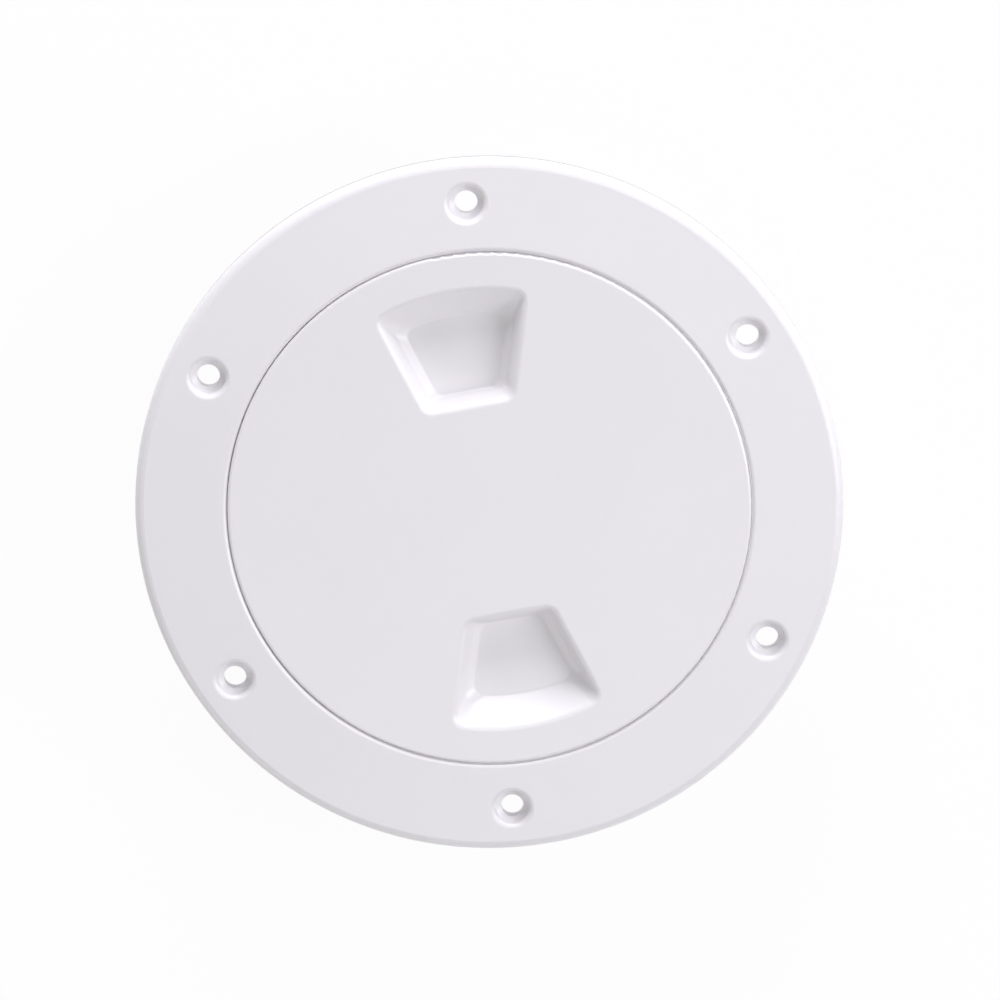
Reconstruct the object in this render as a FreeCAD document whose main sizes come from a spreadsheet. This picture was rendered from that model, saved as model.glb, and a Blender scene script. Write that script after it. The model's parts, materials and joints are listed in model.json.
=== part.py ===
import FreeCAD, Part
import math
import os
import Sketcher

# Screw-in deck inspection plate for a 101.6 mm (four inch) opening. Millimetres, +Z points out of the deck.
# The origin is the centre of the screw circle, in the plane of the deck that the flange lies on.
#
# The plate comes apart into three pieces:
#   flange_frame  a round flange with six dished screw holes, and below it a neck with a coarse thread inside
#   screw_cover   a flush disc with two finger recesses, and below it a skirt with the matching thread outside
#   seal_ring     a round-section ring in the corner under the cover's lip, on a 45 degree seat in the frame
#
# The thread is single start and right handed: one turn anticlockwise, seen from above, lifts the cover by one
# pitch. Both threads lie on one helix, shifted apart so that the closed cover's flanks sit under the frame's.

DRIVING_SIZES = (
    ("opening_diameter", 101.6, "clear opening inside the neck's thread"),
    ("flange_width", 18.7, "flange, from the lip round the cover to its outer edge"),
    ("flange_edge", 4.4, "height of the flange at its outer edge"),
    ("flange_height", 5.6, "height of the flange at the lip round the cover, and of the cover's top"),
    ("flange_edge_round", 2.0, "rounding of the flange's upper outer edge"),
    ("flange_foot_round", 0.6, "rounding of the flange's lower outer edge"),
    ("seam_gap", 0.2, "gap between the cover's disc and the frame's lip"),
    ("seam_round", 0.7, "rounding of the two edges that face each other across the seam"),
    ("screw_count", 6, "number of screw holes"),
    ("screw_inset", 9.0, "distance of the screw circle from the flange's outer edge"),
    ("screw_hole", 4.7, "clearance hole for a number 8 screw"),
    ("seat_diameter", 6.8, "outer edge of the flat cone that the screw head seats on"),
    ("seat_angle", 120.0, "full angle of that cone"),
    ("dish_diameter", 7.6, "dish round each screw hole, before its upper edge is rounded"),
    ("dish_wall", 1.7, "height of the dish's steep wall above the cone, at the middle of the hole"),
    ("dish_round", 1.0, "rounding of the dish's upper edge"),
    ("neck_wall", 3.0, "wall of the neck outside its thread"),
    ("neck_depth", 20.0, "depth of the neck below the deck"),
    ("neck_chamfer", 0.8, "chamfer of the neck's lower outer edge"),
    ("thread_pitch", 4.0, "rise of the cover in one turn"),
    ("thread_depth", 2.0, "height of a thread ridge above its wall"),
    ("thread_crest", 0.8, "width of a ridge at its crest"),
    ("thread_base", 2.0, "width of a ridge at its wall"),
    ("thread_play", 0.6, "radial gap from the crest of one thread to the wall of the other"),
    ("flank_gap", 0.35, "gap along the axis between the flanks that pull the cover down"),
    ("neck_thread_top", 2.4, "depth of the neck thread's upper end, at the middle of the ridge"),
    ("neck_turns", 3.0, "turns of thread in the neck"),
    ("cover_turns", 2.5, "turns of thread on the cover"),
    ("thread_lead", 0.3, "least gap between the seal ring and the top of the cover's thread"),
    ("cover_thickness", 2.8, "thickness of the cover's disc"),
    ("cover_lip", 3.4, "how far the disc stands out past the skirt"),
    ("cover_angle", 6.2, "turn of the closed cover's finger line from the line of two screw holes"),
    ("skirt_wall", 2.4, "wall of the cover's skirt inside its thread"),
    ("skirt_land", 1.1, "plain skirt below the thread"),
    ("skirt_chamfer", 0.5, "chamfer of the skirt's lower outer edge"),
    ("skirt_fillet", 1.2, "fillet between the skirt and the disc, inside"),
    ("recess_margin", 1.6, "from the arc at a finger recess's outer end to the inside of the skirt"),
    ("recess_inner", 22.2, "distance of a recess's straight inner edge from the axis"),
    ("recess_inner_width", 18.0, "width of a recess along that edge, before its corners are rounded"),
    ("recess_side_angle", 17.0, "angle of each side of a recess to the finger line"),
    ("recess_corner", 2.0, "corner radius of a recess at its mouth"),
    ("recess_depth", 5.0, "depth of a recess's floor below the cover's top"),
    ("recess_outer_run", 5.9, "how far the outer wall comes in on its way down"),
    ("recess_inner_run", 2.1, "how far the inner wall comes in on its way down"),
    ("recess_side_depth", 3.8, "depth of the steep part of each side wall"),
    ("recess_side_run", 1.7, "how far that part comes in on its way down"),
    ("recess_side_slope", 1.6, "how far the gentler slope below it comes in, down to the floor"),
    ("recess_floor_corner", 2.4, "corner radius of a recess at its floor"),
    ("recess_wall", 2.2, "wall of the cup that holds a recess, under the disc"),
    ("recess_mouth_round", 1.4, "rounding of a recess's mouth"),
    ("recess_floor_round", 0.6, "fillet round a recess's floor"),
    ("cup_foot_round", 1.2, "rounding of a cup's lower edge"),
    ("rib_width", 1.8, "thickness of the stiffening ribs under the disc"),
    ("rib_depth", 4.0, "how far the ribs stand out below the disc"),
    ("rib_spread", 30.0, "angle between two neighbouring long ribs"),
    ("hub_diameter", 9.0, "boss where the ribs cross"),
    ("seal_section", 2.4, "thickness of the seal ring"),
    ("seal_gap", 0.15, "gap between the seal ring and each face that it seats on"),
)
THREAD_SINK = 0.4  # how far a ridge's profile reaches into its wall, so that the two fuse
CUT_OVER = 1.0  # how far a cutting profile reaches past the faces that it opens
SAME = 1e-3  # two lengths closer than this are the same length


class Size:
    """A length or angle as a number, with the sheet formula that gives the same value."""

    def __init__(self, number, formula):
        self.number = number
        self.formula = formula

    def __add__(self, other):
        other = as_size(other)
        return Size(self.number + other.number, f"({self.formula} + {other.formula})")

    def __sub__(self, other):
        other = as_size(other)
        return Size(self.number - other.number, f"({self.formula} - {other.formula})")

    def __mul__(self, other):
        other = as_size(other)
        return Size(self.number * other.number, f"({self.formula} * {other.formula})")

    def __truediv__(self, other):
        other = as_size(other)
        return Size(self.number / other.number, f"({self.formula} / {other.formula})")

    def __neg__(self):
        return Size(-self.number, f"(0 - {self.formula})")


def as_size(value):
    return value if isinstance(value, Size) else Size(float(value), repr(float(value)))


def cosine(angle):
    return Size(math.cos(math.radians(angle.number)), f"cos({angle.formula})")


def sine(angle):
    return Size(math.sin(math.radians(angle.number)), f"sin({angle.formula})")


def floor_of(value):
    return Size(math.floor(value.number), f"floor({value.formula})")


def tangent(angle):
    return Size(math.tan(math.radians(angle.number)), f"tan({angle.formula})")


def fill_sheet(doc):
    """Write the driving sizes into a sheet, and return each of them as a Size by its alias."""
    sheet = doc.addObject("Spreadsheet::Sheet", "Sizes")
    sizes = {}
    for row, (alias, number, meaning) in enumerate(DRIVING_SIZES, start=1):
        sheet.set(f"A{row}", meaning)
        sheet.set(f"B{row}", str(number))
        sheet.setAlias(f"B{row}", alias)
        sizes[alias] = Size(float(number), f"Sizes.{alias}")
    doc.recompute()
    return sizes


doc = FreeCAD.newDocument("deck_inspection_plate")
size = fill_sheet(doc)
zero = as_size(0)

# Radii and heights that follow from the driving sizes
neck_crest_radius = size["opening_diameter"] / 2
bore_radius = neck_crest_radius + size["thread_depth"]
neck_radius = bore_radius + size["neck_wall"]
skirt_radius = neck_crest_radius - size["thread_play"]
cover_crest_radius = skirt_radius + size["thread_depth"]
skirt_inner_radius = skirt_radius - size["skirt_wall"]
cover_radius = skirt_radius + size["cover_lip"]
lip_radius = cover_radius + size["seam_gap"]
flange_radius = lip_radius + size["flange_width"]
screw_circle_radius = flange_radius - size["screw_inset"]
cover_top = size["flange_height"]
disc_underside = cover_top - size["cover_thickness"]

# The seal's section lies against the skirt, the lip and the 45 degree seat, each across its gap. The seat is
# the line radius - height = seat_offset.
seal_section_radius = size["seal_section"] / 2
seal_reach = seal_section_radius + size["seal_gap"]
seal_radius = skirt_radius + seal_reach
seal_height = disc_underside - seal_reach
seat_offset = seal_radius - seal_height + seal_reach * math.sqrt(2)
seat_top = lip_radius - seat_offset
seat_bottom = bore_radius - seat_offset

# Both threads start at their lower ends, on the +X side of their own piece. Along the axis, the middle of a
# cover ridge lies ridge_offset below the neck ridge that holds it down. The cover's thread is placed as high
# as it can be, in whole pitches, below the seal.
flank_slope = (size["thread_base"] - size["thread_crest"]) / size["thread_depth"] / 2
flank_meeting = cover_crest_radius - neck_crest_radius
ridge_offset = size["thread_crest"] + flank_meeting * flank_slope + size["flank_gap"]
cover_phase = size["thread_pitch"] * size["cover_angle"] / 360
neck_thread_start = -size["neck_thread_top"] - size["neck_turns"] * size["thread_pitch"]
cover_thread_lowest = neck_thread_start - ridge_offset + cover_phase
cover_thread_room = (
    seal_height - seal_section_radius - size["thread_lead"] - size["thread_base"] / 2
    - size["cover_turns"] * size["thread_pitch"] - cover_thread_lowest
)
cover_thread_start = cover_thread_lowest + size["thread_pitch"] * floor_of(
    cover_thread_room / size["thread_pitch"]
)
skirt_foot = cover_thread_start - size["thread_base"] / 2 - size["skirt_land"]

# A finger recess at its mouth. recess_spread is the distance of each side's line from the axis.
recess_outer = skirt_inner_radius - size["recess_margin"]
recess_side = size["recess_side_angle"]
recess_half_width = size["recess_inner_width"] / 2
recess_spread = recess_half_width * cosine(recess_side) - size["recess_inner"] * sine(recess_side)
recess_floor = cover_top - size["recess_depth"]
floor_runs = (
    size["recess_outer_run"], size["recess_inner_run"], size["recess_side_run"] + size["recess_side_slope"]
)
cup_foot = recess_floor - size["recess_wall"]


def new_sketch(body, name, plane_role):
    """A sketch on one of the body's own origin planes."""
    plane = next(item for item in body.Origin.OriginFeatures if item.Role == plane_role)
    sketch = body.newObject("Sketcher::SketchObject", name)
    sketch.AttachmentSupport = [(plane, "")]
    sketch.MapMode = "FlatFace"
    return sketch


def hold_point(sketch, line, x, y):
    """Hold the start of a line at x, y from the sketch's origin, each bound to its formula."""
    origin, start, across_axis, up_axis = -1, 1, -1, -2
    for kind, value, on_axis in (("DistanceX", x, up_axis), ("DistanceY", y, across_axis)):
        if value.formula == zero.formula:
            sketch.addConstraint(Sketcher.Constraint("PointOnObject", line, start, on_axis))
            continue
        bind(sketch, f"{kind}_{line}", value, kind, origin, 1, line, start)


def bind(sketch, name, value, kind, *where):
    """Add a dimension of this kind and tie it to the sheet."""
    number = sketch.addConstraint(Sketcher.Constraint(kind, *where, value.number))
    sketch.renameConstraint(number, name)
    sketch.setExpression(f"Constraints.{name}", value.formula)


def bind_angle(sketch, name, angle, line):
    """Hold a line at an angle to the sketch's X axis."""
    number = sketch.addConstraint(Sketcher.Constraint("Angle", line, math.radians(angle.number)))
    sketch.renameConstraint(number, name)
    sketch.setExpression(f"Constraints.{name}", f"{angle.formula} * 1deg")


def draw_polygon(sketch, corners):
    """A closed outline of straight lines through corners, each of them an x and a y Size."""
    points = [FreeCAD.Vector(x.number, y.number, 0) for x, y in corners]
    following = points[1:] + points[:1]
    lines = sketch.addGeometry([Part.LineSegment(a, b) for a, b in zip(points, following)], False)
    for line, after in zip(lines, lines[1:] + lines[:1]):
        sketch.addConstraint(Sketcher.Constraint("Coincident", line, 2, after, 1))
    for line, (x, y) in zip(lines, corners):
        hold_point(sketch, line, x, y)


def revolved(body, kind, name, sketch):
    """Revolve a sketch about its own vertical axis, as material or as a cut."""
    feature = body.newObject(kind, name)
    feature.Profile = (sketch, [""])
    feature.ReferenceAxis = (sketch, ["V_Axis"])
    feature.Angle = 360.0
    return feature


def repeated(body, name, feature, count):
    """Repeat a feature evenly round the vertical axis."""
    axis = next(item for item in body.Origin.OriginFeatures if item.Role == "Z_Axis")
    pattern = body.newObject("PartDesign::PolarPattern", name)
    pattern.Originals = [feature]
    pattern.Axis = (axis, [""])
    pattern.Angle = 360.0
    pattern.setExpression("Occurrences", count.formula)
    body.Tip = pattern
    return pattern


def dressed(body, kind, name, dimension, value, chosen):
    """Round or chamfer the edges of the body's last feature that chosen picks."""
    doc.recompute()
    base = body.Tip
    picked = [f"Edge{n}" for n, edge in enumerate(base.Shape.Edges, start=1) if chosen(edge)]
    if not picked:
        raise ValueError(f"{name} finds no edge")
    feature = body.newObject(kind, name)
    feature.Base = (base, picked)
    feature.setExpression(dimension, value.formula)
    doc.recompute()
    return feature


def rounded(body, name, radius, chosen):
    return dressed(body, "PartDesign::Fillet", name, "Radius", radius, chosen)


def chamfered(body, name, width, chosen):
    return dressed(body, "PartDesign::Chamfer", name, "Size", width, chosen)


def hoop(radius, height):
    """Picks the full circle of this radius and height about the vertical axis."""

    def is_it(edge):
        if not isinstance(edge.Curve, Part.Circle):
            return False
        centre = edge.Curve.Center
        right_size = abs(edge.Curve.Radius - radius.number) < SAME
        return right_size and (centre - FreeCAD.Vector(0, 0, height.number)).Length < SAME

    return is_it


def thread_ridge(body, name, wall_radius, crest_radius, start_height, turns):
    """A helical ridge on a round wall, from a trapezoid drawn in the XZ plane."""
    outward = 1 if crest_radius.number > wall_radius.number else -1
    sink = as_size(-outward * THREAD_SINK)
    half_crest = size["thread_crest"] / 2
    half_base = size["thread_base"] / 2 + flank_slope * THREAD_SINK
    sketch = new_sketch(body, f"{name}_profile", "XZ_Plane")
    draw_polygon(
        sketch,
        [
            (wall_radius + sink, start_height - half_base),
            (crest_radius, start_height - half_crest),
            (crest_radius, start_height + half_crest),
            (wall_radius + sink, start_height + half_base),
        ],
    )
    ridge = body.newObject("PartDesign::AdditiveHelix", name)
    ridge.Profile = (sketch, [""])
    ridge.ReferenceAxis = (sketch, ["V_Axis"])
    ridge.Mode = "pitch-turns-angle"
    ridge.setExpression("Pitch", size["thread_pitch"].formula)
    ridge.setExpression("Turns", turns.formula)
    ridge.HasBeenEdited = True
    return ridge


def make_flange_frame():
    body = doc.addObject("PartDesign::Body", "flange_frame")
    section = new_sketch(body, "frame_section", "XZ_Plane")
    draw_polygon(
        section,
        [
            (neck_radius, zero),
            (flange_radius, zero),
            (flange_radius, size["flange_edge"]),
            (lip_radius, size["flange_height"]),
            (lip_radius, seat_top),
            (bore_radius, seat_bottom),
            (bore_radius, -size["neck_depth"]),
            (neck_radius, -size["neck_depth"]),
        ],
    )
    revolved(body, "PartDesign::Revolution", "frame_turned", section)
    rounded(body, "flange_edge", size["flange_edge_round"], hoop(flange_radius, size["flange_edge"]))
    rounded(body, "flange_foot", size["flange_foot_round"], hoop(flange_radius, zero))
    rounded(body, "frame_lip", size["seam_round"], hoop(lip_radius, size["flange_height"]))
    chamfered(body, "neck_foot", size["neck_chamfer"], hoop(neck_radius, -size["neck_depth"]))
    cut_screw_holes(body)
    thread_ridge(body, "neck_thread", bore_radius, neck_crest_radius, neck_thread_start, size["neck_turns"])
    return body


def cut_screw_holes(body):
    """Six holes, the first on +Y: a clearance hole, a flat cone for the screw head and a steep wall."""
    hole_radius = size["screw_hole"] / 2
    seat_radius = size["seat_diameter"] / 2
    dish_radius = size["dish_diameter"] / 2
    slope = (size["flange_height"] - size["flange_edge"]) / (flange_radius - lip_radius)
    surface = size["flange_edge"] + slope * (flange_radius - screw_circle_radius)
    cone_top = surface - size["dish_wall"]
    cone_bottom = cone_top - (seat_radius - hole_radius) / tangent(size["seat_angle"] / 2)
    above = size["flange_height"] + CUT_OVER
    radius_above = dish_radius + (dish_radius - seat_radius) / size["dish_wall"] * (above - surface)
    below = as_size(-CUT_OVER)
    section = new_sketch(body, "screw_hole_section", "YZ_Plane")
    section.setExpression("AttachmentOffset.Base.x", screw_circle_radius.formula)
    draw_polygon(
        section,
        [
            (zero, below),
            (hole_radius, below),
            (hole_radius, cone_bottom),
            (seat_radius, cone_top),
            (radius_above, above),
            (zero, above),
        ],
    )
    hole = revolved(body, "PartDesign::Groove", "screw_hole", section)
    repeated(body, "screw_holes", hole, size["screw_count"])

    def upper_edge(edge):
        """Picks each dish's closed edge with the flange's top, centred on the screw circle."""
        box = edge.BoundBox
        middle = math.hypot(box.Center.x, box.Center.y)
        on_circle = abs(middle - screw_circle_radius.number) < hole_radius.number
        return edge.isClosed() and on_circle and box.ZMin > cone_top.number + SAME

    rounded(body, "dish_edges", size["dish_round"], upper_edge)


def recess_outline(body, name, height, growth, runs=(zero, zero, zero), corner=size["recess_corner"]):
    """The outline of a finger recess at one height, grown all round by growth.

    It is an arc about the axis, two slanting sides and a straight inner edge, with rounded corners. The runs
    are how far the outer arc, the inner edge and the sides lie in from the recess's mouth. The finger line is
    the sketch's Y axis.
    """
    outer_in, inner_in, side_in = runs
    outer = recess_outer - outer_in + growth
    inner = size["recess_inner"] + inner_in - growth
    spread = recess_spread - side_in + growth
    corner = corner + growth
    cos_side, sin_side = cosine(recess_side), sine(recess_side)
    inner_centre_x = (spread - corner + (inner + corner) * sin_side) / cos_side

    # The right side is the line x * cos - y * sin = spread, and a corner's centre lies inside both its lines
    r, u, d, c = outer.number, inner.number, spread.number, corner.number
    across = FreeCAD.Vector(cos_side.number, -sin_side.number, 0)
    along = FreeCAD.Vector(sin_side.number, cos_side.number, 0)
    inner_centre = FreeCAD.Vector(inner_centre_x.number, u + c, 0)
    outer_centre = across * (d - c) + along * math.sqrt((r - c) ** 2 - (d - c) ** 2)
    edge_end = FreeCAD.Vector(inner_centre.x, u, 0)
    side_inner = inner_centre + across * c
    side_outer = outer_centre + across * c
    arc_end = outer_centre * (r / (r - c))

    def mirrored(point):
        return FreeCAD.Vector(-point.x, point.y, 0)

    def arc(start, centre, end):
        towards = (start - centre) + (end - centre)
        return Part.Arc(start, centre + towards.normalize() * (start - centre).Length, end)

    sketch = new_sketch(body, name, "XY_Plane")
    sketch.setExpression("AttachmentOffset.Base.z", height.formula)
    run = sketch.addGeometry(
        [
            arc(arc_end, FreeCAD.Vector(), mirrored(arc_end)),
            arc(mirrored(arc_end), mirrored(outer_centre), mirrored(side_outer)),
            Part.LineSegment(mirrored(side_outer), mirrored(side_inner)),
            arc(mirrored(side_inner), mirrored(inner_centre), mirrored(edge_end)),
            Part.LineSegment(mirrored(edge_end), edge_end),
            arc(edge_end, inner_centre, side_inner),
            Part.LineSegment(side_inner, side_outer),
            arc(side_outer, outer_centre, arc_end),
        ],
        False,
    )
    outer_arc, left_outer, left_side, left_inner, edge, right_inner, right_side, right_outer = run
    for piece, after in zip(run, run[1:] + run[:1]):
        sketch.addConstraint(Sketcher.Constraint("Tangent", piece, 2, after, 1))
    sketch.addConstraint(Sketcher.Constraint("Coincident", outer_arc, 3, -1, 1))
    sketch.addConstraint(Sketcher.Constraint("Horizontal", edge))
    for other in (left_outer, left_inner, right_inner):
        sketch.addConstraint(Sketcher.Constraint("Equal", right_outer, other))
    bind(sketch, "outer_radius", outer, "Radius", outer_arc)
    bind(sketch, "corner_radius", corner, "Radius", right_outer)
    bind(sketch, "inner_distance", inner, "DistanceY", -1, 1, edge, 1)
    bind(sketch, "right_corner", inner_centre_x, "DistanceX", -1, 1, right_inner, 3)
    bind(sketch, "left_corner", -inner_centre_x, "DistanceX", -1, 1, left_inner, 3)
    bind_angle(sketch, "right_lean", as_size(90) - recess_side, right_side)
    bind_angle(sketch, "left_lean", recess_side - 90, left_side)
    return sketch


def recess_loft(body, kind, name, top, *below):
    """A loft down through two or more recess outlines, and its twin on the other side of the axis."""
    loft = body.newObject(kind, name)
    loft.Profile = (top, [""])
    loft.Sections = [(outline, [""]) for outline in below]
    loft.Ruled = True
    return repeated(body, f"{name}_pair", loft, as_size(2))


def make_screw_cover():
    body = doc.addObject("PartDesign::Body", "screw_cover")
    section = new_sketch(body, "cover_section", "XZ_Plane")
    draw_polygon(
        section,
        [
            (zero, cover_top),
            (zero, disc_underside),
            (skirt_inner_radius, disc_underside),
            (skirt_inner_radius, skirt_foot),
            (skirt_radius, skirt_foot),
            (skirt_radius, disc_underside),
            (cover_radius, disc_underside),
            (cover_radius, cover_top),
        ],
    )
    revolved(body, "PartDesign::Revolution", "cover_turned", section)
    rounded(body, "cover_edge", size["seam_round"], hoop(cover_radius, cover_top))
    rounded(body, "skirt_root", size["skirt_fillet"], hoop(skirt_inner_radius, disc_underside))
    chamfered(body, "skirt_foot_edge", size["skirt_chamfer"], hoop(skirt_radius, skirt_foot))
    add_cups(body)
    add_ribs(body)
    cut_recesses(body)
    thread_ridge(
        body, "cover_thread", skirt_radius, cover_crest_radius, cover_thread_start, size["cover_turns"]
    )
    upward = FreeCAD.Vector(0, 0, 1)
    body.Placement = FreeCAD.Placement(
        FreeCAD.Vector(), FreeCAD.Rotation(upward, size["cover_angle"].number)
    )
    body.setExpression("Placement.Rotation.Angle", size["cover_angle"].formula)
    return body


def level_edge(height):
    """Picks the level edges at this height inside the skirt, apart from circles about the axis."""

    def is_it(edge):
        box = edge.BoundBox
        middle = math.hypot(box.Center.x, box.Center.y)
        level = max(abs(box.ZMin - height.number), abs(box.ZMax - height.number)) < SAME
        return level and SAME < middle < skirt_inner_radius.number

    return is_it


def wall_runs(depth):
    """How far the recess's outer, inner and side walls have come in at a depth within the steep part."""
    share = depth / size["recess_depth"]
    side_share = depth / size["recess_side_depth"]
    side_in = size["recess_side_run"] * side_share
    return size["recess_outer_run"] * share, size["recess_inner_run"] * share, side_in


def add_cups(body):
    """Two cups opposite each other below the disc, to hold the finger recesses."""
    wall, floor_corner = size["recess_wall"], size["recess_floor_corner"]
    rim = recess_outline(body, "cup_rim", disc_underside, wall, wall_runs(size["cover_thickness"]))
    foot = recess_outline(body, "cup_foot", cup_foot, wall, floor_runs, floor_corner)
    recess_loft(body, "PartDesign::AdditiveLoft", "cup", rim, foot)
    rounded(body, "cup_foot_edges", size["cup_foot_round"], level_edge(cup_foot))


def cut_recesses(body):
    """The recess in each cup, from the cover's top down to the cup's floor."""
    ledge_depth, floor_corner = size["recess_side_depth"], size["recess_floor_corner"]
    mouth = recess_outline(body, "recess_mouth", cover_top, zero)
    ledge = recess_outline(body, "recess_ledge", cover_top - ledge_depth, zero, wall_runs(ledge_depth))
    floor = recess_outline(body, "recess_floor", recess_floor, zero, floor_runs, floor_corner)
    recess_loft(body, "PartDesign::SubtractiveLoft", "recess", mouth, ledge, floor)
    rounded(body, "recess_mouth_edges", size["recess_mouth_round"], level_edge(cover_top))
    rounded(body, "recess_floor_edges", size["recess_floor_round"], level_edge(recess_floor))


def add_ribs(body):
    """Three long ribs from side to side of the skirt, one short rib between the cups, and a boss.

    Each rib ends inside the wall that it meets.
    """
    half_width = size["rib_width"] / 2
    for name, turn, half_length in (
        ("rib_right", -size["rib_spread"], skirt_inner_radius),
        ("rib_middle", zero, skirt_inner_radius),
        ("rib_left", size["rib_spread"], skirt_inner_radius),
        ("rib_finger", as_size(90), size["recess_inner"]),
    ):
        reach = half_length + size["skirt_wall"] / 2
        outline = new_sketch(body, f"{name}_outline", "XY_Plane")
        outline.setExpression("AttachmentOffset.Base.z", disc_underside.formula)
        outline.AttachmentOffset = FreeCAD.Placement(
            FreeCAD.Vector(0, 0, disc_underside.number),
            FreeCAD.Rotation(FreeCAD.Vector(0, 0, 1), turn.number),
        )
        if turn.formula != zero.formula:
            outline.setExpression("AttachmentOffset.Rotation.Angle", turn.formula)
        draw_polygon(
            outline,
            [
                (-reach, -half_width),
                (reach, -half_width),
                (reach, half_width),
                (-reach, half_width),
            ],
        )
        pad_down(body, name, outline)
    outline = new_sketch(body, "hub_outline", "XY_Plane")
    outline.setExpression("AttachmentOffset.Base.z", disc_underside.formula)
    hub_radius = size["hub_diameter"] / 2
    upward = FreeCAD.Vector(0, 0, 1)
    circle = outline.addGeometry(Part.Circle(FreeCAD.Vector(), upward, hub_radius.number), False)
    outline.addConstraint(Sketcher.Constraint("Coincident", circle, 3, -1, 1))
    bind(outline, "hub_radius", hub_radius, "Radius", circle)
    pad_down(body, "hub", outline)


def pad_down(body, name, outline):
    """Pad an outline on the disc's underside away from the disc, to the depth of the ribs."""
    pad = body.newObject("PartDesign::Pad", name)
    pad.Profile = (outline, [""])
    pad.Reversed = True
    pad.setExpression("Length", size["rib_depth"].formula)
    return pad


def make_seal_ring():
    ring = doc.addObject("Part::Torus", "seal_ring")
    ring.setExpression("Radius1", seal_radius.formula)
    ring.setExpression("Radius2", seal_section_radius.formula)
    ring.setExpression("Placement.Base.z", seal_height.formula)
    return ring


def finish(parts):
    """Check every object and write each sub-part to a STEP file of its own."""
    doc.recompute()
    for item in doc.Objects:
        if "Invalid" in item.State or "Error" in item.State:
            raise ValueError(f"{item.Name} did not build: {item.State}")
    os.makedirs("parts", exist_ok=True)
    for part in parts:
        shape = part.Shape
        if shape.isNull() or not shape.isValid():
            raise ValueError(f"{part.Label} has no valid shape")
        print(part.Label, "solids", len(shape.Solids), "volume", round(shape.Volume, 1), shape.BoundBox)
    for part in parts:
        part.Shape.exportStep(f"parts/{part.Label}.step")


finish([make_flange_frame(), make_screw_cover(), make_seal_ring()])
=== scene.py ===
"""Finishes, moulding marks, studio and camera for a screw-in deck inspection plate of white plastic."""

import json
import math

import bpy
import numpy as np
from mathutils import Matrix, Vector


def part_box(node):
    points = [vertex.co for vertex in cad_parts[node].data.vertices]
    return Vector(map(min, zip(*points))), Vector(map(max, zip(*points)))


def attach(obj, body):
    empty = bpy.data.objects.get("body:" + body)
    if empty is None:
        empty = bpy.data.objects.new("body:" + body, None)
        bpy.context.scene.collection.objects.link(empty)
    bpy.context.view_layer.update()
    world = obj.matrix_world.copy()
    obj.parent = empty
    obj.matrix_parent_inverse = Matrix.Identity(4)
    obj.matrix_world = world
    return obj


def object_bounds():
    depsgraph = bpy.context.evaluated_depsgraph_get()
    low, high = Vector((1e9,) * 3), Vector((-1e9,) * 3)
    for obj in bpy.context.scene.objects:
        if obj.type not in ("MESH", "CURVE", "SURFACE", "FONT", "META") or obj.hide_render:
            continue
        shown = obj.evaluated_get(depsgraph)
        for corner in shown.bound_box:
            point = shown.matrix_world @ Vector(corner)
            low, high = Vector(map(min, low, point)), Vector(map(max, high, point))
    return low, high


bl_info = {
    "name": "Deck inspection plate",
    "version": (1, 1, 0),
    "blender": (4, 5, 0),
    "location": "3D View > Sidebar > Deck Plate",
    "description": "Finishes, moulding marks, studio and camera of a screw-in deck inspection plate",
    "category": "Object",
}

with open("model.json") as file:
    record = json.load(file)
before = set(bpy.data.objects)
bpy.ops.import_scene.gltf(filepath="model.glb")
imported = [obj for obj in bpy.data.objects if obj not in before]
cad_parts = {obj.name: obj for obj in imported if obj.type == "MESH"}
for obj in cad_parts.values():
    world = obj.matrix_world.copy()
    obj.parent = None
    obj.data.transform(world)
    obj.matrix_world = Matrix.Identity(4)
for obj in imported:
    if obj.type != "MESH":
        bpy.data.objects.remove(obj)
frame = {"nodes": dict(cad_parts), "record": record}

CAD_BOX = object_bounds()
MM = 0.001
FULL_TURN = 2 * math.pi


def mount(name):
    """The record's mount of this name."""
    return next(row for row in frame["record"]["mounts"] if row["name"] == name)


frame_low, frame_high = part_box("flange_frame")
cover_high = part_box("screw_cover")[1]
seal_low, seal_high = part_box("seal_ring")
SEAL_SECTION = (seal_high.z - seal_low.z) / 2
SEAL_RADIUS = seal_high.x - SEAL_SECTION
SEAL_HEIGHT = (seal_high.z + seal_low.z) / 2
SCREW_COUNT = mount("screw_holes")["dims"]["count"]
SCREW_CIRCLE = mount("screw_holes")["dims"]["pcd_mm"] / 2 * MM
NECK_RADIUS = mount("neck_spigot")["dims"]["r_mm"] * MM

# Levels, walls and turns of the mouldings that the frame's boxes don't give
DISC_UNDERSIDE = 2.8 * MM
BOSS_FACE = -1.2 * MM
NECK_WALL = 3.0 * MM
COVER_TURN = math.radians(6.2)
RIB_TURN = math.radians(60)

# Rings of ejector pins at the neck's foot and under the cover
NECK_PINS = 8
INNER_PIN_CIRCLE = 19 * MM
OUTER_PIN_CIRCLE = 41 * MM

# The seam round the cover, and how the ledge in it is sunk in the lip and how deep it goes
COVER_RADIUS = cover_high.x
SEAM_GAP = 0.2 * MM
LEDGE_SINK = 0.1 * MM
LEDGE_DEPTH = 1.5 * MM

# How far in from the flange's edge its band of painted shade reaches
EDGE_SHADE_REACH = 0.5 * MM

# How many points go round each new surface, and round the section of the flash line
FLASH_STEPS = 256
FLASH_POINTS = 17
GATE_STEPS = 48
LEDGE_STEPS = 360
FLOOR_STEPS = 96

WHITE = (1.0, 1.0, 1.0, 1.0)
FLOOR_COLOUR = (0.9, 0.9, 0.9, 1.0)


# Materials


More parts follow.
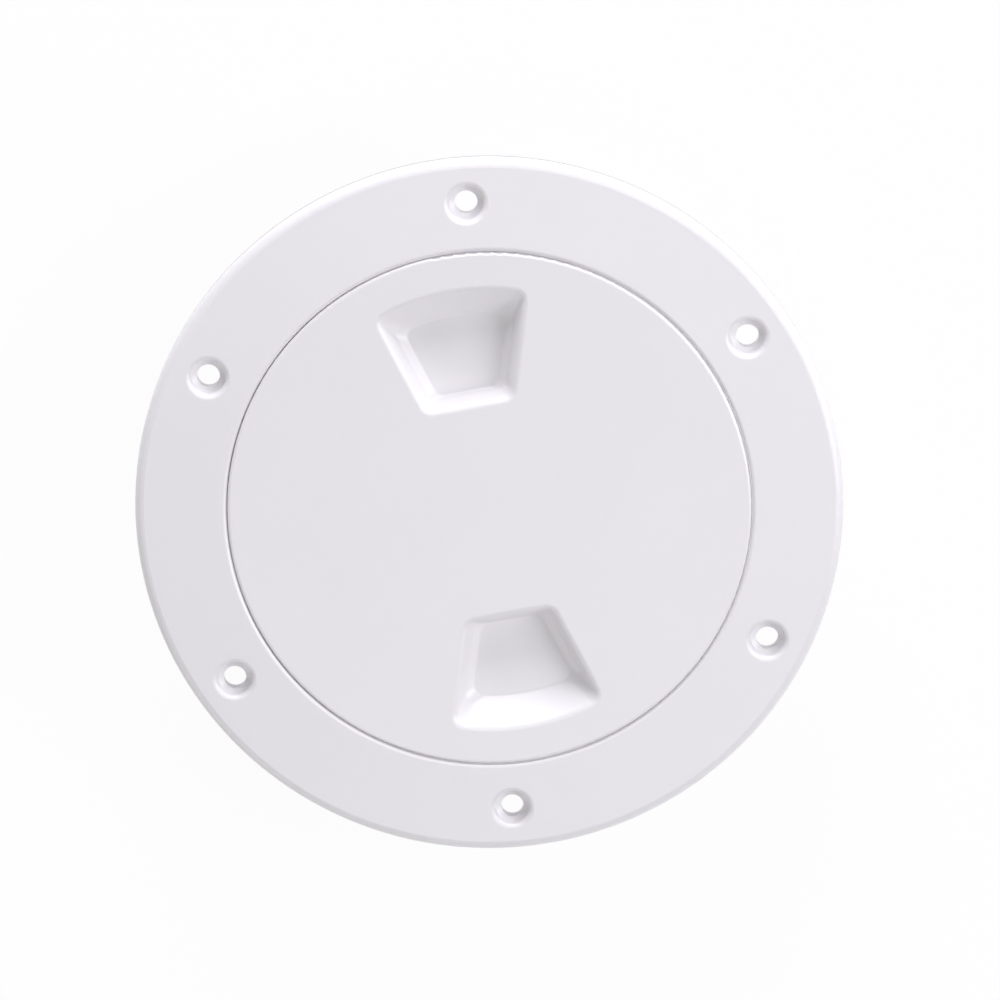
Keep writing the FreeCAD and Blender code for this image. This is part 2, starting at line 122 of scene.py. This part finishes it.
class Value:
    """A node's output in a material, with arithmetic that adds Math nodes to the same material."""

    def __init__(self, socket):
        self.socket = socket

    def node(self, kind, settings=None, sockets=None, output=0):
        """Add a node of this kind: its settings first, then the numbers or links of its sockets."""
        tree = self.socket.id_data
        made = tree.nodes.new(kind)
        for name, setting in (settings or {}).items():
            setattr(made, name, setting)
        for key, value in (sockets or {}).items():
            if isinstance(value, Value):
                tree.links.new(value.socket, made.inputs[key])
            else:
                made.inputs[key].default_value = value
        return Value(made.outputs[output])

    def math(self, operation, *others):
        """A Math node on this value and the others."""
        values = dict(enumerate((self, *others)))
        return self.node("ShaderNodeMath", {"operation": operation}, values)

    def __add__(self, other):
        return self.math("ADD", other)

    __radd__ = __add__

    def __sub__(self, other):
        return self.math("SUBTRACT", other)

    def __rsub__(self, other):
        return self * -1 + other

    def __mul__(self, other):
        return self.math("MULTIPLY", other)

    __rmul__ = __mul__

    def __truediv__(self, other):
        return self.math("DIVIDE", other)

    def __pow__(self, other):
        return self.math("POWER", other)

    def clamped(self):
        """This value, kept between 0 and 1."""
        return self.node("ShaderNodeClamp", None, {"Value": self})

    def noise(self, wavelength, detail=2.0):
        """Smooth noise about 0.5 whose humps are about one wavelength apart, read at this place."""
        sockets = {"Vector": self, "Scale": 1 / wavelength, "Detail": detail}
        return self.node("ShaderNodeTexNoise", None, sockets)

    def parts(self):
        """This vector's x, y and z."""
        return [self.node("ShaderNodeSeparateXYZ", None, {"Vector": self}, output) for output in range(3)]

    def mixed(self, first, second):
        """The first colour where this value is 0 and the second where it is 1."""
        factor, colour_a, colour_b, result = 0, 6, 7, 2
        sockets = {factor: self, colour_a: first, colour_b: second}
        return self.node("ShaderNodeMix", {"data_type": "RGBA"}, sockets, result)

    def bumped(self, height, normal=None):
        """A surface normal for this height, given as a share of a height in metres."""
        sockets = {"Height": self, "Distance": height, "Strength": 1.0}
        if normal is not None:
            sockets["Normal"] = normal
        return self.node("ShaderNodeBump", None, sockets)


def new_material(name):
    """A material with only its output, its shader and the place on the object that is being shaded."""
    material = bpy.data.materials.new(name)
    material.use_nodes = True
    tree = material.node_tree
    tree.nodes.clear()
    output = tree.nodes.new("ShaderNodeOutputMaterial")
    shader = tree.nodes.new("ShaderNodeBsdfPrincipled")
    tree.links.new(shader.outputs["BSDF"], output.inputs["Surface"])
    place = Value(tree.nodes.new("ShaderNodeTexCoord").outputs["Object"])
    return material, shader, place


def set_sockets(shader, **sockets):
    """Set or link a shader's sockets, whose names are given with _ for a space."""
    for name, value in sockets.items():
        socket = shader.inputs[name.replace("_", " ")]
        if isinstance(value, Value):
            shader.id_data.links.new(value.socket, socket)
        else:
            socket.default_value = value


def pin_marks(place, circle, count, turn, radius, level):
    """1 inside each of count round marks on a circle about the axis, at one level, and 0 elsewhere.

    The angle round the axis, less the turn of the first mark, is folded into the sector of the nearest mark,
    so one distance serves them all.
    """
    edge, reach = 0.12 * MM, 0.3 * MM
    x, y, z = place.parts()
    sector = FULL_TURN / count
    turned = y.math("ARCTAN2", x) - turn
    folded = turned - (turned / sector).math("ROUND") * sector
    distance_out = (x * x + y * y) ** 0.5
    along = distance_out * folded.math("COSINE") - circle
    across = distance_out * folded.math("SINE")
    distance = (along * along + across * across) ** 0.5
    inside = ((radius - distance) / edge).clamped()
    at_level = (1 - (z - level).math("ABSOLUTE") / reach).clamped()
    return inside * at_level.math("CEIL")


def edge_shade_band(place, level, width):
    """1 along the middle of a band of painted shade round the flange's edge, at a level, falling to 0 at its
    two sides.
    """
    x, y, z = place.parts()
    outside = ((x * x + y * y) ** 0.5 - (frame_high.x - EDGE_SHADE_REACH)).math("SIGN").clamped()
    return (1 - (z - level).math("ABSOLUTE") / (width / 2)).clamped() * outside


def moulded_plastic(name, finish, marks, has_edge_shade):
    """White moulded plastic: faint clouds of tone, an orange-peel skin and the marks of ejector pins.

    The flange frame's also has painted shade: a grey band round the flange's edge, low down by its foot.
    """
    material, shader, place = new_material(name)
    clouds = place.noise(finish.cloud_size)
    handling = place.noise(finish.cloud_size / 3, detail=4.0)
    light, dark = (
        (*(channel * (1 + side * finish.tone_spread) for channel in finish.colour), 1.0) for side in (1, -1)
    )
    marked = pin_marks(place, *marks[0])
    for mark in marks[1:]:
        marked = marked + pin_marks(place, *mark)
    tone = clouds.mixed(dark, light)
    # Painted shade: a grey band round the foot of the flange's edge, mixed into the tone
    if has_edge_shade:
        band = edge_shade_band(place, finish.edge_shade_level, finish.edge_shade_width)
        tone = (band * 2).clamped().mixed(tone, (*finish.edge_shade_colour, 1.0))
    peel = place.noise(finish.peel_size).bumped(finish.peel_height)
    skin = place.noise(finish.grain_size, detail=3.0).bumped(finish.grain_height, peel)
    set_sockets(
        shader,
        Base_Color=tone,
        Roughness=finish.roughness + (handling - 0.5) * finish.roughness_spread,
        Normal=(1 - marked).bumped(finish.pin_depth, skin),
        IOR=1.5,
        Subsurface_Weight=finish.translucency,
        Subsurface_Radius=(1.0, 0.9, 0.8),
        Subsurface_Scale=finish.scatter,
    )
    return material


def moulded_rubber(name, finish):
    """Black rubber with a faint grey bloom and a fine matt skin."""
    material, shader, place = new_material(name)
    bloom = place.noise(finish.bloom_size, detail=4.0)
    dark, grey = (*finish.colour, 1.0), (*finish.bloom, 1.0)
    set_sockets(
        shader,
        Base_Color=bloom.mixed(dark, grey),
        Roughness=finish.roughness + (bloom - 0.5) * finish.roughness_spread,
        Normal=place.noise(finish.grain_size).bumped(finish.grain_height),
        IOR=1.52,
    )
    return material


# Surfaces


def grid_faces(rows, columns):
    """Quads between neighbours of a grid, numbered row by row, whose columns close on themselves."""
    row, column = np.meshgrid(np.arange(rows - 1), np.arange(columns), indexing="ij")
    after = (column + 1) % columns
    near, far = row * columns, (row + 1) * columns
    return np.stack((near + column, near + after, far + after, far + column), axis=-1).reshape(-1, 4)


def new_piece(name, points, material, body):
    """A smooth mesh over a grid of points, in place, that rides on a body."""
    mesh = bpy.data.meshes.new(name)
    mesh.from_pydata(points.reshape(-1, 3).tolist(), [], grid_faces(*points.shape[:2]).tolist())
    mesh.materials.append(material)
    mesh.shade_smooth()
    piece = bpy.data.objects.new(name, mesh)
    bpy.context.scene.collection.objects.link(piece)
    if body:
        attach(piece, body)
    return piece


def round_grid(radius, height, turns):
    """A revolved profile: row i lies at radius[i] and height[i], and column j at the angle turns[j]."""
    x = radius[:, None] * np.cos(turns)
    y = radius[:, None] * np.sin(turns)
    z = np.broadcast_to(height[:, None], x.shape)
    return np.stack((x, y, z), axis=-1)


def even_turns(count):
    """Angles all the way round, with the last one short of the first."""
    return np.linspace(0, FULL_TURN, count, endpoint=False)


# Settings


def length(name, description, default):
    return bpy.props.FloatProperty(
        name=name, description=description, default=default, min=0, unit="LENGTH", precision=5
    )


def share(name, description, default):
    return bpy.props.FloatProperty(
        name=name, description=description, default=default, min=0, max=1, subtype="FACTOR"
    )


def angle(name, description, degrees):
    return bpy.props.FloatProperty(
        name=name, description=description, default=math.radians(degrees), unit="ROTATION"
    )


def power(name, description, default):
    return bpy.props.FloatProperty(name=name, description=description, default=default, min=0, unit="POWER")


def colour(name, description, default):
    return bpy.props.FloatVectorProperty(
        name=name, description=description, default=default, size=3, min=0, max=1, subtype="COLOR"
    )


def position(name, description, default):
    return bpy.props.FloatVectorProperty(
        name=name, description=description, default=default, size=3, subtype="TRANSLATION"
    )


class PlatePlastic(bpy.types.PropertyGroup):
    """Finish of the two white mouldings."""

    colour: colour("Colour", "Mean base colour", (0.803, 0.781, 0.805))
    tone_spread: share("Tone spread", "Share by which the clouds are lighter or darker", 0.012)
    cloud_size: length("Cloud size", "Distance between clouds of tone", 22 * MM)
    roughness: share("Roughness", "Mean roughness of the skin", 0.34)
    roughness_spread: share("Roughness spread", "Spread of roughness over the skin", 0.10)
    peel_size: length("Peel size", "Distance between the humps of the skin", 1.6 * MM)
    peel_height: length("Peel height", "Height of those humps", 0.006 * MM)
    grain_size: length("Grain size", "Distance between the grains of the skin", 0.28 * MM)
    grain_height: length("Grain height", "Height of those grains", 0.0015 * MM)
    # Painted shade: colour, level and width of the grey band round the foot of the flange's edge
    edge_shade_colour: colour("Band colour", "Colour of the band round the flange's edge", (0.42, 0.41, 0.425))
    edge_shade_level: length("Band level", "Level of the middle of that band", 0.9 * MM)
    edge_shade_width: length("Band width", "Width of that band with its soft sides", 3.0 * MM)
    pin_depth: length("Pin mark depth", "Depth of an ejector pin's mark", 0.12 * MM)
    translucency: share("Translucency", "Share of the light that scatters inside", 0.15)
    scatter: length("Scatter", "How far light scatters inside", 0.8 * MM)


class PlateRubber(bpy.types.PropertyGroup):
    """Finish of the seal ring."""

    colour: colour("Colour", "Colour of clean rubber", (0.018, 0.018, 0.019))
    bloom: colour("Bloom", "Colour of its grey bloom", (0.05, 0.05, 0.052))
    bloom_size: length("Bloom size", "Distance between patches of bloom", 9 * MM)
    roughness: share("Roughness", "Mean roughness", 0.55)
    roughness_spread: share("Roughness spread", "Spread of roughness with the bloom", 0.2)
    grain_size: length("Grain size", "Distance between grains", 0.25 * MM)
    grain_height: length("Grain height", "Height of the grains", 0.004 * MM)


class PlateMarks(bpy.types.PropertyGroup):
    """Small marks that moulding leaves on the pieces."""

    flash_height: length("Flash height", "Height of the flash line on the seal ring", 0.07 * MM)
    flash_width: length("Flash width", "Width of that line", 0.22 * MM)
    gate_diameter: length("Gate diameter", "Diameter of the cut gate on the cover's boss", 2.6 * MM)
    gate_height: length("Gate height", "Height that was left of the gate", 0.35 * MM)
    frame_pin: length("Frame pin radius", "Radius of the ejector pins under the flange", 2.5 * MM)
    ledge_high: length("High ledge level", "Level of the ledge where the seam is narrowest", 5.2 * MM)
    ledge_low: length("Low ledge level", "Level of the ledge where the seam is widest", 4.86 * MM)
    seam_least: length("Least seam", "Gap between the ledge and the cover where it is narrowest", 0.02 * MM)
    seam_most: length("Widest seam", "Gap between the ledge and the cover where it is widest", 0.11 * MM)
    seam_turn: angle("Seam turn", "Direction in which the seam is narrowest", 10)
    neck_pin: length("Neck pin radius", "Radius of the ejector pins at the neck's foot", 1.0 * MM)
    cover_pin: length("Cover pin radius", "Radius of the ejector pins under the cover", 2.0 * MM)


class PlateStudio(bpy.types.PropertyGroup):
    """Floor, lamps and the room's own light. Directions go round +Z from +X."""

    floor_radius: length("Floor radius", "Radius of the round floor", 3.0)
    floor_gap: length("Floor gap", "How far the floor lies below the neck's foot", 0.1 * MM)
    shadow_share: share("Shadow share", "How much of a shadow the camera sees on the floor", 0.07)
    shadow_reach: length("Shadow reach", "Distance from the axis at which no shadow is left", 0.6)
    room_light: share("Room light", "Strength of the light from all round", 0.30)
    lamp_distance: length("Lamp distance", "Distance of each lamp from the plate", 1.4)
    lamp_width: length("Lamp width", "Side of each square lamp", 0.7)
    lamp_colour: colour("Lamp colour", "Colour of the low lamp and the side lamp", (0.95, 0.95, 1.0))
    low_power: power("Low lamp power", "Power of the low lamp at the top of the picture", 21.0)
    low_direction: angle("Low lamp direction", "Direction of the low lamp", 90)
    low_elevation: angle("Low lamp elevation", "Height of the low lamp over the floor", 12)
    side_power: power("Side lamp power", "Power of the lamp on the right", 10.2)
    side_direction: angle("Side lamp direction", "Direction of the lamp on the right", 0)
    side_elevation: angle("Side lamp elevation", "Height of that lamp over the floor", 35)
    high_power: power("High lamp power", "Power of the high lamp at the foot of the picture", 3.4)
    high_direction: angle("High lamp direction", "Direction of the high lamp", 270)
    high_elevation: angle("High lamp elevation", "Height of that lamp over the floor", 62)
    fill_power: power("Fill lamp power", "Power of the low lamp at the lower left", 3.4)
    fill_direction: angle("Fill lamp direction", "Direction of the low lamp at the lower left", 225)
    fill_elevation: angle("Fill lamp elevation", "Height of that lamp over the floor", 12)


class PlateCamera(bpy.types.PropertyGroup):
    """The photograph's camera: nearly above the plate, on the side that is the picture's top."""

    location: position("Location", "Where the camera stands", (0.01371, 0.24, 1.06552))
    target: position("Target", "Point that it looks at", (0.00224, 0.00079, 0))
    roll: angle("Roll", "Turn about the line of sight", 178.445)
    lens: bpy.props.FloatProperty(
        name="Lens", description="Focal length on a 36 mm sensor", default=191.6, min=20, unit="CAMERA"
    )


# Pieces


class PLATE_OT_finish_mouldings(bpy.types.Operator):
    """Gives the flange frame and the screw cover their white moulded plastic"""

    bl_idname = "deck_plate.finish_mouldings"
    bl_label = "Finish mouldings"

    def execute(self, context):
        finish, marks = context.scene.plate_plastic, context.scene.plate_marks
        between_ribs = RIB_TURN + COVER_TURN
        # For each ring of pins: circle, count, direction of the first, radius and level
        frame_marks = (
            (SCREW_CIRCLE, SCREW_COUNT, 0.0, marks.frame_pin, 0.0),
            (NECK_RADIUS - NECK_WALL / 2, NECK_PINS, 0.0, marks.neck_pin, frame_low.z),
        )
        cover_marks = (
            (INNER_PIN_CIRCLE, 2, between_ribs, marks.cover_pin, DISC_UNDERSIDE),
            (INNER_PIN_CIRCLE, 2, math.pi - between_ribs + 2 * COVER_TURN, marks.cover_pin, DISC_UNDERSIDE),
            (OUTER_PIN_CIRCLE, 4, math.pi / 4 + COVER_TURN, marks.cover_pin, DISC_UNDERSIDE),
        )
        # The last column says whether the piece gets the band of painted shade round the flange's edge
        for node, slot, places, has_edge_shade in (
            ("flange_frame", "frame_plastic", frame_marks, True),
            ("screw_cover", "cover_plastic", cover_marks, False),
        ):
            piece = frame["nodes"][node]
            piece.material_slots[0].material = moulded_plastic(slot + "_skin", finish, places, has_edge_shade)
        return {"FINISHED"}


class PLATE_OT_finish_seal(bpy.types.Operator):
    """Gives the seal ring its rubber, and adds the two flash lines that its mould leaves"""

    bl_idname = "deck_plate.finish_seal"
    bl_label = "Finish seal ring"

    def execute(self, context):
        marks = context.scene.plate_marks
        rubber = moulded_rubber("seal_rubber_skin", context.scene.plate_rubber)
        ring = frame["nodes"]["seal_ring"]
        ring.material_slots[0].material = rubber
        for name, side in (("seal_flash_outside", 0.0), ("seal_flash_inside", math.pi)):
            points = self.flash_line(side, marks.flash_height, marks.flash_width)
            new_piece(name, points, rubber, "seal")
        return {"FINISHED"}

    @staticmethod
    def flash_line(side, height, width):
        """A thin raised line round the ring, at the section angle side.

        Its own section is a lens: outside it stands out by height times a squared cosine of the way across,
        and inside it lies one height below the ring's surface.
        """
        loop = np.linspace(0, FULL_TURN, FLASH_POINTS)
        across = np.sin(loop) * width / 2 / SEAL_SECTION
        lift = np.where(np.cos(loop) > 0, height * np.cos(loop) ** 2, height * np.cos(loop))
        reach = SEAL_SECTION + lift
        radius = SEAL_RADIUS + reach * np.cos(side + across)
        level = SEAL_HEIGHT + reach * np.sin(side + across)
        return round_grid(radius, level, even_turns(FLASH_STEPS))


class PLATE_OT_add_gate_mark(bpy.types.Operator):
    """Adds what is left of the moulding gate on the boss under the cover"""

    bl_idname = "deck_plate.add_gate_mark"
    bl_label = "Add gate mark"

    def execute(self, context):
        marks = context.scene.plate_marks
        points = self.stub(marks.gate_diameter / 2, marks.gate_height)
        plastic = frame["nodes"]["screw_cover"].material_slots[0].material
        new_piece("cover_gate_mark", points, plastic, "cover")
        return {"FINISHED"}

    @staticmethod
    def stub(radius, height):
        """A low round stub on the boss with a torn rim, closed above by its root inside the boss.

        Its radius follows a few shares of its full radius and its drop below the boss a few shares of its
        height, and the radius wavers by 5 percent three times and by 3 percent five times round.
        """
        turns = even_turns(GATE_STEPS)
        reach = np.array([0.0, 0.25, 0.45, 0.6, 0.72, 0.84, 0.94, 1.0, 1.03, 1.0, 0.5, 0.0])
        drop = np.array([0.55, 0.58, 0.66, 0.80, 0.94, 1.0, 0.94, 0.72, 0.30, -0.4, -0.6, -0.6])
        points = round_grid(reach * radius, BOSS_FACE - drop * height, turns)
        wobble = 1 + 0.05 * np.sin(3 * turns + 1) + 0.03 * np.sin(5 * turns)
        points[..., :2] *= wobble[None, :, None]
        return points


class PLATE_OT_add_seam_ledge(bpy.types.Operator):
    """Adds the narrow ledge of the frame's lip that closes most of the seam round the cover"""

    bl_idname = "deck_plate.add_seam_ledge"
    bl_label = "Add seam ledge"

    def execute(self, context):
        marks = context.scene.plate_marks
        points = self.ledge(marks)
        plastic = frame["nodes"]["flange_frame"].material_slots[0].material
        new_piece("frame_seam_ledge", points, plastic, "frame")
        return {"FINISHED"}

    @staticmethod
    def ledge(marks):
        """A ring of four-sided section whose outside is sunk in the lip's wall.

        Round the axis its gap to the cover and its level swing as a cosine, and the ledge is highest where
        the gap is narrowest.
        """
        turns = even_turns(LEDGE_STEPS)
        side = (1 + np.cos(turns - marks.seam_turn)) / 2
        inside = COVER_RADIUS + marks.seam_most + (marks.seam_least - marks.seam_most) * side
        outside = np.full_like(turns, COVER_RADIUS + SEAM_GAP + LEDGE_SINK)
        top = marks.ledge_low + (marks.ledge_high - marks.ledge_low) * side
        foot = np.full_like(turns, marks.ledge_low - LEDGE_DEPTH)
        radius = np.stack((inside, outside, outside, inside, inside))
        level = np.stack((foot, foot, top, top, foot))
        return np.stack((radius * np.cos(turns), radius * np.sin(turns), level), axis=-1)


class PLATE_OT_build_studio(bpy.types.Operator):
    """Builds the pale floor, the soft lamps and the room's light"""

    bl_idname = "deck_plate.build_studio"
    bl_label = "Build studio"

    def execute(self, context):
        studio = context.scene.plate_studio
        self.add_floor(studio)
        for name in ("low", "side", "high", "fill"):
            self.add_lamp(context, studio, name)
        self.light_room(context, studio)
        context.scene.view_settings.view_transform = "Standard"
        return {"FINISHED"}

    @staticmethod
    def seen_directly(rays):
        """1 for rays from the camera, from glossy surfaces and through clear ones, and 0 for all others."""
        kinds = [Value(rays.outputs[f"Is {kind} Ray"]) for kind in ("Camera", "Glossy", "Transmission")]
        return kinds[0].math("MAXIMUM", kinds[1]).math("MAXIMUM", kinds[2])

    def add_floor(self, studio):
        """A matt floor that is seen as white, less a share near the plate that keeps its shadow."""
        material, shader, place = new_material("studio_floor")
        tree = material.node_tree
        set_sockets(shader, Base_Color=FLOOR_COLOUR, Roughness=0.9)
        seen = self.seen_directly(tree.nodes.new("ShaderNodeLightPath"))
        glow = seen.node("ShaderNodeEmission", None, {"Color": WHITE, "Strength": 1.0})
        factor, first, second = range(3)
        x, y, _ = place.parts()
        near = (1 - (x * x + y * y) ** 0.5 / studio.shadow_reach).clamped()
        white = seen * (1 - near * studio.shadow_share)
        sockets = {factor: white, first: Value(shader.outputs["BSDF"]), second: glow}
        surface = seen.node("ShaderNodeMixShader", None, sockets)
        output = next(node for node in tree.nodes if node.type == "OUTPUT_MATERIAL")
        tree.links.new(surface.socket, output.inputs["Surface"])
        rings = np.array([1.0, 0.5, 0.0]) * studio.floor_radius
        points = round_grid(rings, np.full(3, CAD_BOX[0].z - studio.floor_gap), even_turns(FLOOR_STEPS))
        new_piece("floor", points, material, None)

    @staticmethod
    def add_lamp(context, studio, name):
        """A square lamp that faces the plate from its direction and elevation."""
        direction, elevation = getattr(studio, f"{name}_direction"), getattr(studio, f"{name}_elevation")
        light = bpy.data.lights.new(f"{name}_lamp", "AREA")
        light.shape = "SQUARE"
        light.size = studio.lamp_width
        light.energy = getattr(studio, f"{name}_power")
        if name in ("low", "side"):
            light.color = studio.lamp_colour
        lamp = bpy.data.objects.new(f"{name}_lamp", light)
        level = math.cos(elevation)
        towards = Vector((level * math.cos(direction), level * math.sin(direction), math.sin(elevation)))
        lamp.location = studio.lamp_distance * towards
        lamp.rotation_euler = (-towards).to_track_quat("-Z", "Y").to_euler()
        context.scene.collection.objects.link(lamp)

    def light_room(self, context, studio):
        """White for the camera and for reflections, and the room's light for everything else."""
        world = bpy.data.worlds.new("room")
        world.use_nodes = True
        tree = world.node_tree
        tree.nodes.clear()
        output = tree.nodes.new("ShaderNodeOutputWorld")
        seen = self.seen_directly(tree.nodes.new("ShaderNodeLightPath"))
        strength = studio.room_light + seen * (1 - studio.room_light)
        sockets = {"Color": WHITE, "Strength": strength}
        background = seen.node("ShaderNodeBackground", None, sockets)
        tree.links.new(background.socket, output.inputs["Surface"])
        context.scene.world = world


class PLATE_OT_place_camera(bpy.types.Operator):
    """Places the camera where the photograph was taken from"""

    bl_idname = "deck_plate.place_camera"
    bl_label = "Place camera"

    def execute(self, context):
        view = context.scene.plate_camera
        data = bpy.data.cameras.new("photo_camera")
        data.lens = view.lens
        camera = bpy.data.objects.new("photo_camera", data)
        location, target = Vector(view.location), Vector(view.target)
        look = (target - location).to_track_quat("-Z", "Y").to_matrix().to_4x4()
        camera.matrix_world = Matrix.Translation(location) @ look @ Matrix.Rotation(view.roll, 4, "Z")
        context.scene.collection.objects.link(camera)
        bpy.context.scene.camera = camera
        return {"FINISHED"}


class PLATE_PT_panel(bpy.types.Panel):
    """Settings and steps of the deck inspection plate."""

    bl_idname = "PLATE_PT_panel"
    bl_label = "Deck Inspection Plate"
    bl_space_type = "VIEW_3D"
    bl_region_type = "UI"
    bl_category = "Deck Plate"

    def draw(self, context):
        for setting, _ in SETTINGS:
            box = self.layout.box()
            group = getattr(context.scene, setting)
            for name in group.__annotations__:
                box.prop(group, name)
        for step in STEPS:
            self.layout.operator(step.bl_idname)


SETTINGS = (
    ("plate_plastic", PlatePlastic),
    ("plate_rubber", PlateRubber),
    ("plate_marks", PlateMarks),
    ("plate_studio", PlateStudio),
    ("plate_camera", PlateCamera),
)
STEPS = (
    PLATE_OT_finish_mouldings,
    PLATE_OT_finish_seal,
    PLATE_OT_add_gate_mark,
    PLATE_OT_add_seam_ledge,
    PLATE_OT_build_studio,
    PLATE_OT_place_camera,
)


def register():
    for name, group in SETTINGS:
        bpy.utils.register_class(group)
        setattr(bpy.types.Scene, name, bpy.props.PointerProperty(type=group))
    for step in STEPS:
        bpy.utils.register_class(step)
    bpy.utils.register_class(PLATE_PT_panel)


def unregister():
    bpy.utils.unregister_class(PLATE_PT_panel)
    for step in reversed(STEPS):
        bpy.utils.unregister_class(step)
    for name, group in reversed(SETTINGS):
        delattr(bpy.types.Scene, name)
        bpy.utils.unregister_class(group)


def main():
    register()
    bpy.ops.deck_plate.finish_mouldings()
    bpy.ops.deck_plate.finish_seal()
    bpy.ops.deck_plate.add_gate_mark()
    bpy.ops.deck_plate.add_seam_ledge()
    bpy.ops.deck_plate.build_studio()
    bpy.ops.deck_plate.place_camera()


if __name__ == "__main__":
    main()
